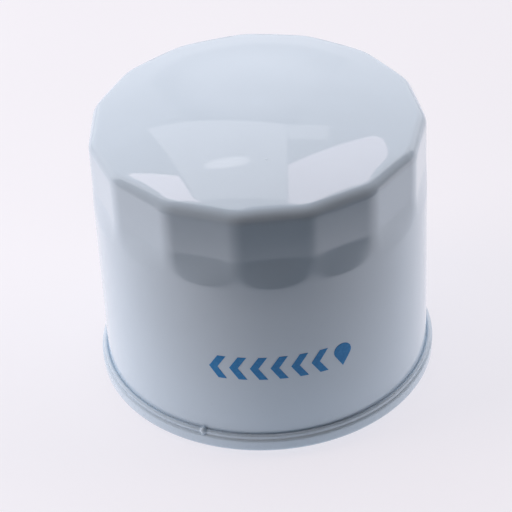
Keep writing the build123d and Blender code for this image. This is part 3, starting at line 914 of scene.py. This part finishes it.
def make_spring(name, node, mean_radius, wire, turns):
    """Coil spring between a node's lowest and highest points, with closed end turns ground flat."""
    low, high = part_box(node)
    bottom = low.z / MM + wire * GROUND_SHARE
    top = high.z / MM - wire * GROUND_SHARE
    steps = int(turns * STEPS_PER_TURN)
    share = np.linspace(0, turns, steps + 1)
    end_rise = CLOSED_TURNS * (wire * CLOSED_PITCH)
    knots = [0, CLOSED_TURNS, turns - CLOSED_TURNS, turns]
    levels = [0, end_rise, top - bottom - end_rise, top - bottom]
    height = np.interp(share, knots, levels)
    for _ in range(PITCH_BLENDS):
        height[1:-1] = (height[:-2] + 2 * height[1:-1] + height[2:]) / 4
    angle = share * 2 * math.pi
    slope = np.gradient(height, angle) / mean_radius
    lean = np.arctan(slope)
    around = np.linspace(0, 2 * math.pi, WIRE_SIDES, endpoint=False)
    outward = wire / 2 * np.cos(around)[None, :]
    upward = wire / 2 * np.sin(around)[None, :]
    radius = mean_radius + outward
    back = -upward * np.sin(lean)[:, None]
    x = radius * np.cos(angle)[:, None] - back * np.sin(angle)[:, None]
    y = radius * np.sin(angle)[:, None] + back * np.cos(angle)[:, None]
    z = bottom + height[:, None] + upward * np.cos(lean)[:, None]
    z = np.clip(z, low.z / MM, high.z / MM)
    tube = np.stack([x, y, z], axis=-1)
    ring = tube.shape[1]
    faces = ring_faces(len(tube), ring)
    faces.append(tuple(range(ring))[::-1])
    faces.append(tuple((len(tube) - 1) * ring + k for k in range(ring)))
    made = new_object(name, tube.reshape(-1, 3), faces)
    tidy_normals(made)
    keep_creases(made, 50)
    return made


element_spring = make_spring("element_spring", "support_spring", mean_radius=11.0, wire=1.7, turns=5.0)
finish_piece(element_spring, "spring_steel", "housing", "support_spring")
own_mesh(element_spring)

valve_spring = make_spring("valve_spring", "bypass_spring", mean_radius=5.0, wire=0.9, turns=6.5)
finish_piece(valve_spring, "spring_steel", "element", "bypass_spring")
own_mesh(valve_spring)


# ---------------------------------------------------------------- printed mark
INK_OUTER_RADIUS = CAN_RADIUS + 0.05
INK_INNER_RADIUS = CAN_RADIUS + 0.01
MARK_HEIGHT = (mark_high.z - mark_low.z) / MM
MARK_Z = (mark_high.z + mark_low.z) / 2 / MM
MARK_DROP_ANGLE = -67.9
MARK_DROP_RADIUS = 2.1
CHEVRON_COUNT = 6
CHEVRON_PITCH = 6.9
CHEVRON_GAP = 1.4
CHEVRON_REACH = 2.0
CHEVRON_BAR = 1.9
PATCH_REACH = 4.0
PATCH_CUT_SPACING = 0.4


def drop_outline():
    """An oil drop, its round end towards -y and its tip towards +y."""
    half = MARK_HEIGHT / 2
    centre = MARK_DROP_RADIUS - half
    rise = math.degrees(math.asin(MARK_DROP_RADIUS / (MARK_HEIGHT - MARK_DROP_RADIUS)))
    return [(0, half), *arc((0, centre), MARK_DROP_RADIUS, 180 - rise, 360 + rise, 40)]


def chevron_outline():
    """An arrowhead bar pointing along +x."""
    half, reach, bar = MARK_HEIGHT / 2, CHEVRON_REACH / 2, CHEVRON_BAR / 2
    return [
        (reach + bar, 0),
        (bar - reach, half),
        (-reach - bar, half),
        (reach - bar, 0),
        (-reach - bar, -half),
        (bar - reach, -half),
    ]


def make_mark():
    """The print as thin patches of ink that follow the can's curve, upside down while the dome is up."""
    patches = [(MARK_DROP_ANGLE, drop_outline())]
    for index in range(CHEVRON_COUNT):
        angle = MARK_DROP_ANGLE - CHEVRON_GAP - (index + 1) * CHEVRON_PITCH
        patches.append((angle, chevron_outline()))
    whole = bmesh.new()
    for angle, outline in patches:
        patch = bmesh.new()
        corners = [patch.verts.new((x, y, INK_OUTER_RADIUS)) for x, y in outline]
        edges = [patch.edges.new((a, b)) for a, b in zip(corners, corners[1:] + corners[:1])]
        bmesh.ops.triangle_fill(patch, use_beauty=True, edges=edges)
        for cut in np.arange(-PATCH_REACH, PATCH_REACH + 0.01, PATCH_CUT_SPACING):
            everything = patch.verts[:] + patch.edges[:] + patch.faces[:]
            bmesh.ops.bisect_plane(patch, geom=everything, plane_co=(float(cut), 0, 0), plane_no=(1, 0, 0))
        grown = bmesh.ops.extrude_face_region(patch, geom=patch.faces[:])
        for vertex in [v for v in grown["geom"] if isinstance(v, bmesh.types.BMVert)]:
            vertex.co.z = INK_INNER_RADIUS
        bmesh.ops.recalc_face_normals(patch, faces=patch.faces)
        for vertex in patch.verts:
            around = math.radians(angle) - vertex.co.x / CAN_RADIUS
            out = vertex.co.z
            vertex.co = Vector((out * math.cos(around), out * math.sin(around), MARK_Z - vertex.co.y)) * MM
        held = bpy.data.meshes.new("patch")
        patch.to_mesh(held)
        patch.free()
        whole.from_mesh(held)
        bpy.data.meshes.remove(held)
    bmesh.ops.recalc_face_normals(whole, faces=whole.faces)
    mesh = bpy.data.meshes.new("ink_mark")
    whole.to_mesh(mesh)
    whole.free()
    made = bpy.data.objects.new("ink_mark", mesh)
    bpy.context.scene.collection.objects.link(made)
    keep_creases(made)
    return made


ink_mark = make_mark()
finish_piece(ink_mark, "ink", "housing", "printed_mark")


# ---------------------------------------------------------------- finishes of the CAD nodes that stay
for subpart in frame["record"]["subparts"]:
    node = frame["nodes"][subpart["node"]]
    node.data.materials.clear()
    node.data.materials.append(FINISHES[subpart["material_slot"]])
    if not node.hide_render:
        keep_creases(node, 30)


# ---------------------------------------------------------------- studio
CORE_EVEN_PART = 0.4


def emission_finish(name, colour, strength, core, core_size, core_shape):
    """Evenly lit face, with a soft brighter core at its middle if core is above 0."""
    material = bpy.data.materials.new(name)
    material.use_nodes = True
    tree = material.node_tree
    tree.nodes.clear()
    output = tree.nodes.new("ShaderNodeOutputMaterial")
    emission = tree.nodes.new("ShaderNodeEmission")
    emission.inputs["Color"].default_value = (*colour, 1)
    emission.inputs["Strength"].default_value = strength
    tree.links.new(emission.outputs[0], output.inputs["Surface"])
    if core:
        place = tree.nodes.new("ShaderNodeTexCoord")
        shape = tree.nodes.new("ShaderNodeVectorMath")
        shape.operation = "MULTIPLY"
        shape.inputs[1].default_value = core_shape
        tree.links.new(place.outputs["Object"], shape.inputs[0])
        length = tree.nodes.new("ShaderNodeVectorMath")
        length.operation = "LENGTH"
        tree.links.new(shape.outputs["Vector"], length.inputs[0])
        fade = tree.nodes.new("ShaderNodeMapRange")
        fade.interpolation_type = "SMOOTHERSTEP"
        fade.inputs["From Min"].default_value = core_size * CORE_EVEN_PART
        fade.inputs["From Max"].default_value = core_size
        fade.inputs["To Min"].default_value = strength + core
        fade.inputs["To Max"].default_value = strength
        tree.links.new(length.outputs["Value"], fade.inputs["Value"])
        tree.links.new(fade.outputs["Result"], emission.inputs["Strength"])
    return material


def toward(azimuth, elevation):
    """Unit direction from the filter, azimuth as in the camera's views: 0 towards -Y, 90 towards +X."""
    a, e = math.radians(azimuth), math.radians(elevation)
    return Vector((math.sin(a) * math.cos(e), -math.cos(a) * math.cos(e), math.sin(e)))


DOME_POINT = Vector((0, -0.01, 0.068))


def panel(
    name, corners, distance, strength, colour, core=0.0, core_size=1.0, core_shape=EVEN, mirrored=True
):
    """Lit card whose corners lie in directions (azimuth, elevation) from the dome."""
    points = [DOME_POINT + toward(*corner) * distance for corner in corners]
    centre = sum(points, Vector()) / len(points)
    mesh = bpy.data.meshes.new(name)
    mesh.from_pydata([p - centre for p in points], [], [tuple(range(len(points)))])
    mesh.materials.append(emission_finish(name, colour, strength, core, core_size * distance, core_shape))
    made = bpy.data.objects.new(name, mesh)
    made.location = centre
    made.visible_camera = False
    made.visible_glossy = mirrored
    made.visible_shadow = False
    bpy.context.scene.collection.objects.link(made)
    return made


def oval(azimuth, elevation, half_width, half_height, steps=24):
    """Corners of a round card, sizes in degrees."""
    turns = [2 * math.pi * k / steps for k in range(steps)]
    return [(azimuth + half_width * math.cos(t), elevation + half_height * math.sin(t)) for t in turns]


def floor_finish():
    """Pale lilac-white light table: lit from below, and with a matt surface."""
    finish = Finish("backdrop", (0.18, 0.18, 0.18), 0.9)
    cloud = finish.ramp(finish.noise(160, 2), 0.3, 0.7)
    finish.colour(finish.mix(cloud, (0.17, 0.17, 0.17), (0.19, 0.19, 0.19)))
    finish.set("Emission Color", (0.94, 0.925, 1.0, 1))
    # Painted light: the table's glow is a little stronger on the left than on the right
    across = finish.ramp(finish.axis("X"), -0.15, 0.15, 0.78, 0.72)
    finish.link(across, finish.shader.inputs["Emission Strength"])
    finish.set("Specular IOR Level", 0.1)
    return finish.material


def level_card(name, half_width, front, back, height, material):
    """Level rectangle from front to back along Y, in metres."""
    corners = [(-half_width, front), (half_width, front), (half_width, back), (-half_width, back)]
    mesh = bpy.data.meshes.new(name)
    mesh.from_pydata([(x, y, height) for x, y in corners], [], [(0, 1, 2, 3)])
    mesh.materials.append(material)
    made = bpy.data.objects.new(name, mesh)
    bpy.context.scene.collection.objects.link(made)
    return made


# A hair under the gasket, so that the two faces don't fight when seen from below
FLOOR_LEVEL = -0.00003
FLOOR_HALF = 8.0
level_card("floor", FLOOR_HALF, -FLOOR_HALF, FLOOR_HALF, FLOOR_LEVEL, floor_finish())

world = bpy.data.worlds.new("studio")
bpy.context.scene.world = world
world.use_nodes = True
world.node_tree.nodes["Background"].inputs["Color"].default_value = (0.93, 0.92, 1.0, 1)
world.node_tree.nodes["Background"].inputs["Strength"].default_value = 0.02

# Large panels beside and behind the table light it from all round except the front
PALE = (1.0, 0.965, 0.99)
WARM = (1.0, 0.8, 0.73)
PINK = (1.0, 0.88, 0.92)
panel("left_wall", [(-104, 2), (-74, 2), (-74, 60), (-104, 60)], 6.5, 4.0, WARM, mirrored=False)
panel("left_back_wall", [(-150, 2), (-104, 2), (-104, 60), (-150, 60)], 6.5, 1.9, PALE, mirrored=False)
panel("right_wall", [(112, 2), (82, 2), (82, 58), (112, 58)], 6.5, 2.6, WARM, mirrored=False)
panel("right_back_wall", [(150, 2), (112, 2), (112, 58), (150, 58)], 6.5, 1.8, PALE, mirrored=False)
panel("back_wall", [(-110, 2), (-180, 2), (120, 2), (120, 62), (180, 62), (-110, 62)], 7.5, 1.12, PALE)
# Smaller ones show as patches on the dome
BACK_PATCH = [(-168, 34.5), (-173, 35.5), (171.8, 39.5), (169.6, 58.5), (-168, 56)]
panel("back_softbox", BACK_PATCH, 6.0, 1.68, PALE)
panel("back_glow", oval(176.3, 26, 12, 15.5), 6.2, 0.95, PALE, 0.28, 0.265, (1.4, 1, 1))
panel("hot_spot", oval(-177.4, 48.7, 4.5, 2), 5.7, 1.55, PALE, 1.1, 0.08, (1, 2.4, 2.4))
panel("upper_softbox", [(171.5, 39.7), (165.4, 38.6), (164.5, 42.7), (171.3, 43.5)], 5.9, 1.6, PALE)
panel("right_softbox", [(170.6, 50.2), (157, 37.1), (154.2, 42.5), (150, 62), (169, 60)], 6.0, 2.5, PINK)
panel("left_softbox", [(-159.3, 42.7), (-167.5, 49.1), (-167.6, 58), (-157, 59)], 6.0, 3.0, PINK)

# The lit table ends a little in front of the filter, and everything beyond is dark
TABLE_CENTRE_X = 0.004
TABLE_STRETCH = 1.25
TABLE_NEAR = 0.084
TABLE_FAR = 0.122
FLAG_FRONT_Y = -0.09
FLAG_BACK_Y = -0.02
FLAG_HALF = 1.2
FLAG_HEIGHT = 0.0004


def flag_finish():
    """Black towards the front beyond the table's edge, clear elsewhere, with a soft border."""
    finish = Finish("flag", (0.01, 0.01, 0.01), 1.0)
    finish.set("Specular IOR Level", 0)
    beyond = finish.ramp(finish.from_axis(), TABLE_NEAR, TABLE_FAR)
    in_front = finish.ramp(finish.axis("Y"), FLAG_FRONT_Y, FLAG_BACK_Y, 1, 0)
    finish.link(finish.math("MULTIPLY", beyond, in_front), finish.shader.inputs["Alpha"])
    return finish.material


flag = level_card("flag", FLAG_HALF, -FLAG_HALF, 0, FLAG_HEIGHT, flag_finish())
flag.location.x = TABLE_CENTRE_X
flag.scale.x = TABLE_STRETCH
flag.visible_camera = False
flag.visible_shadow = False


# ---------------------------------------------------------------- camera
VIEW_AZIMUTH = -3.24
VIEW_ELEVATION = 36.80
VIEW_DISTANCE = 0.4867
VIEW_ROLL = math.radians(-3.05)
VIEW_HEIGHT = 0.02744
VIEW_ASIDE = -0.00168
SENSOR_WIDTH = 36
FOCAL_LENGTH = 147.42

facing = math.radians(VIEW_AZIMUTH)
right = Vector((math.cos(facing), math.sin(facing), 0))
back = toward(VIEW_AZIMUTH, VIEW_ELEVATION)
lens = bpy.data.cameras.new("camera")
lens.sensor_width = SENSOR_WIDTH
lens.lens = FOCAL_LENGTH
lens.clip_start = 0.01
lens.clip_end = 20
camera = bpy.data.objects.new("camera", lens)
camera.location = Vector((0, 0, VIEW_HEIGHT)) + right * VIEW_ASIDE + back * VIEW_DISTANCE
camera.rotation_mode = "QUATERNION"
camera.rotation_quaternion = (-back).to_track_quat("-Z", "Y") @ Quaternion((0, 0, 1), VIEW_ROLL)
bpy.context.scene.collection.objects.link(camera)
bpy.context.scene.camera = camera
bpy.context.scene.view_settings.view_transform = "Standard"
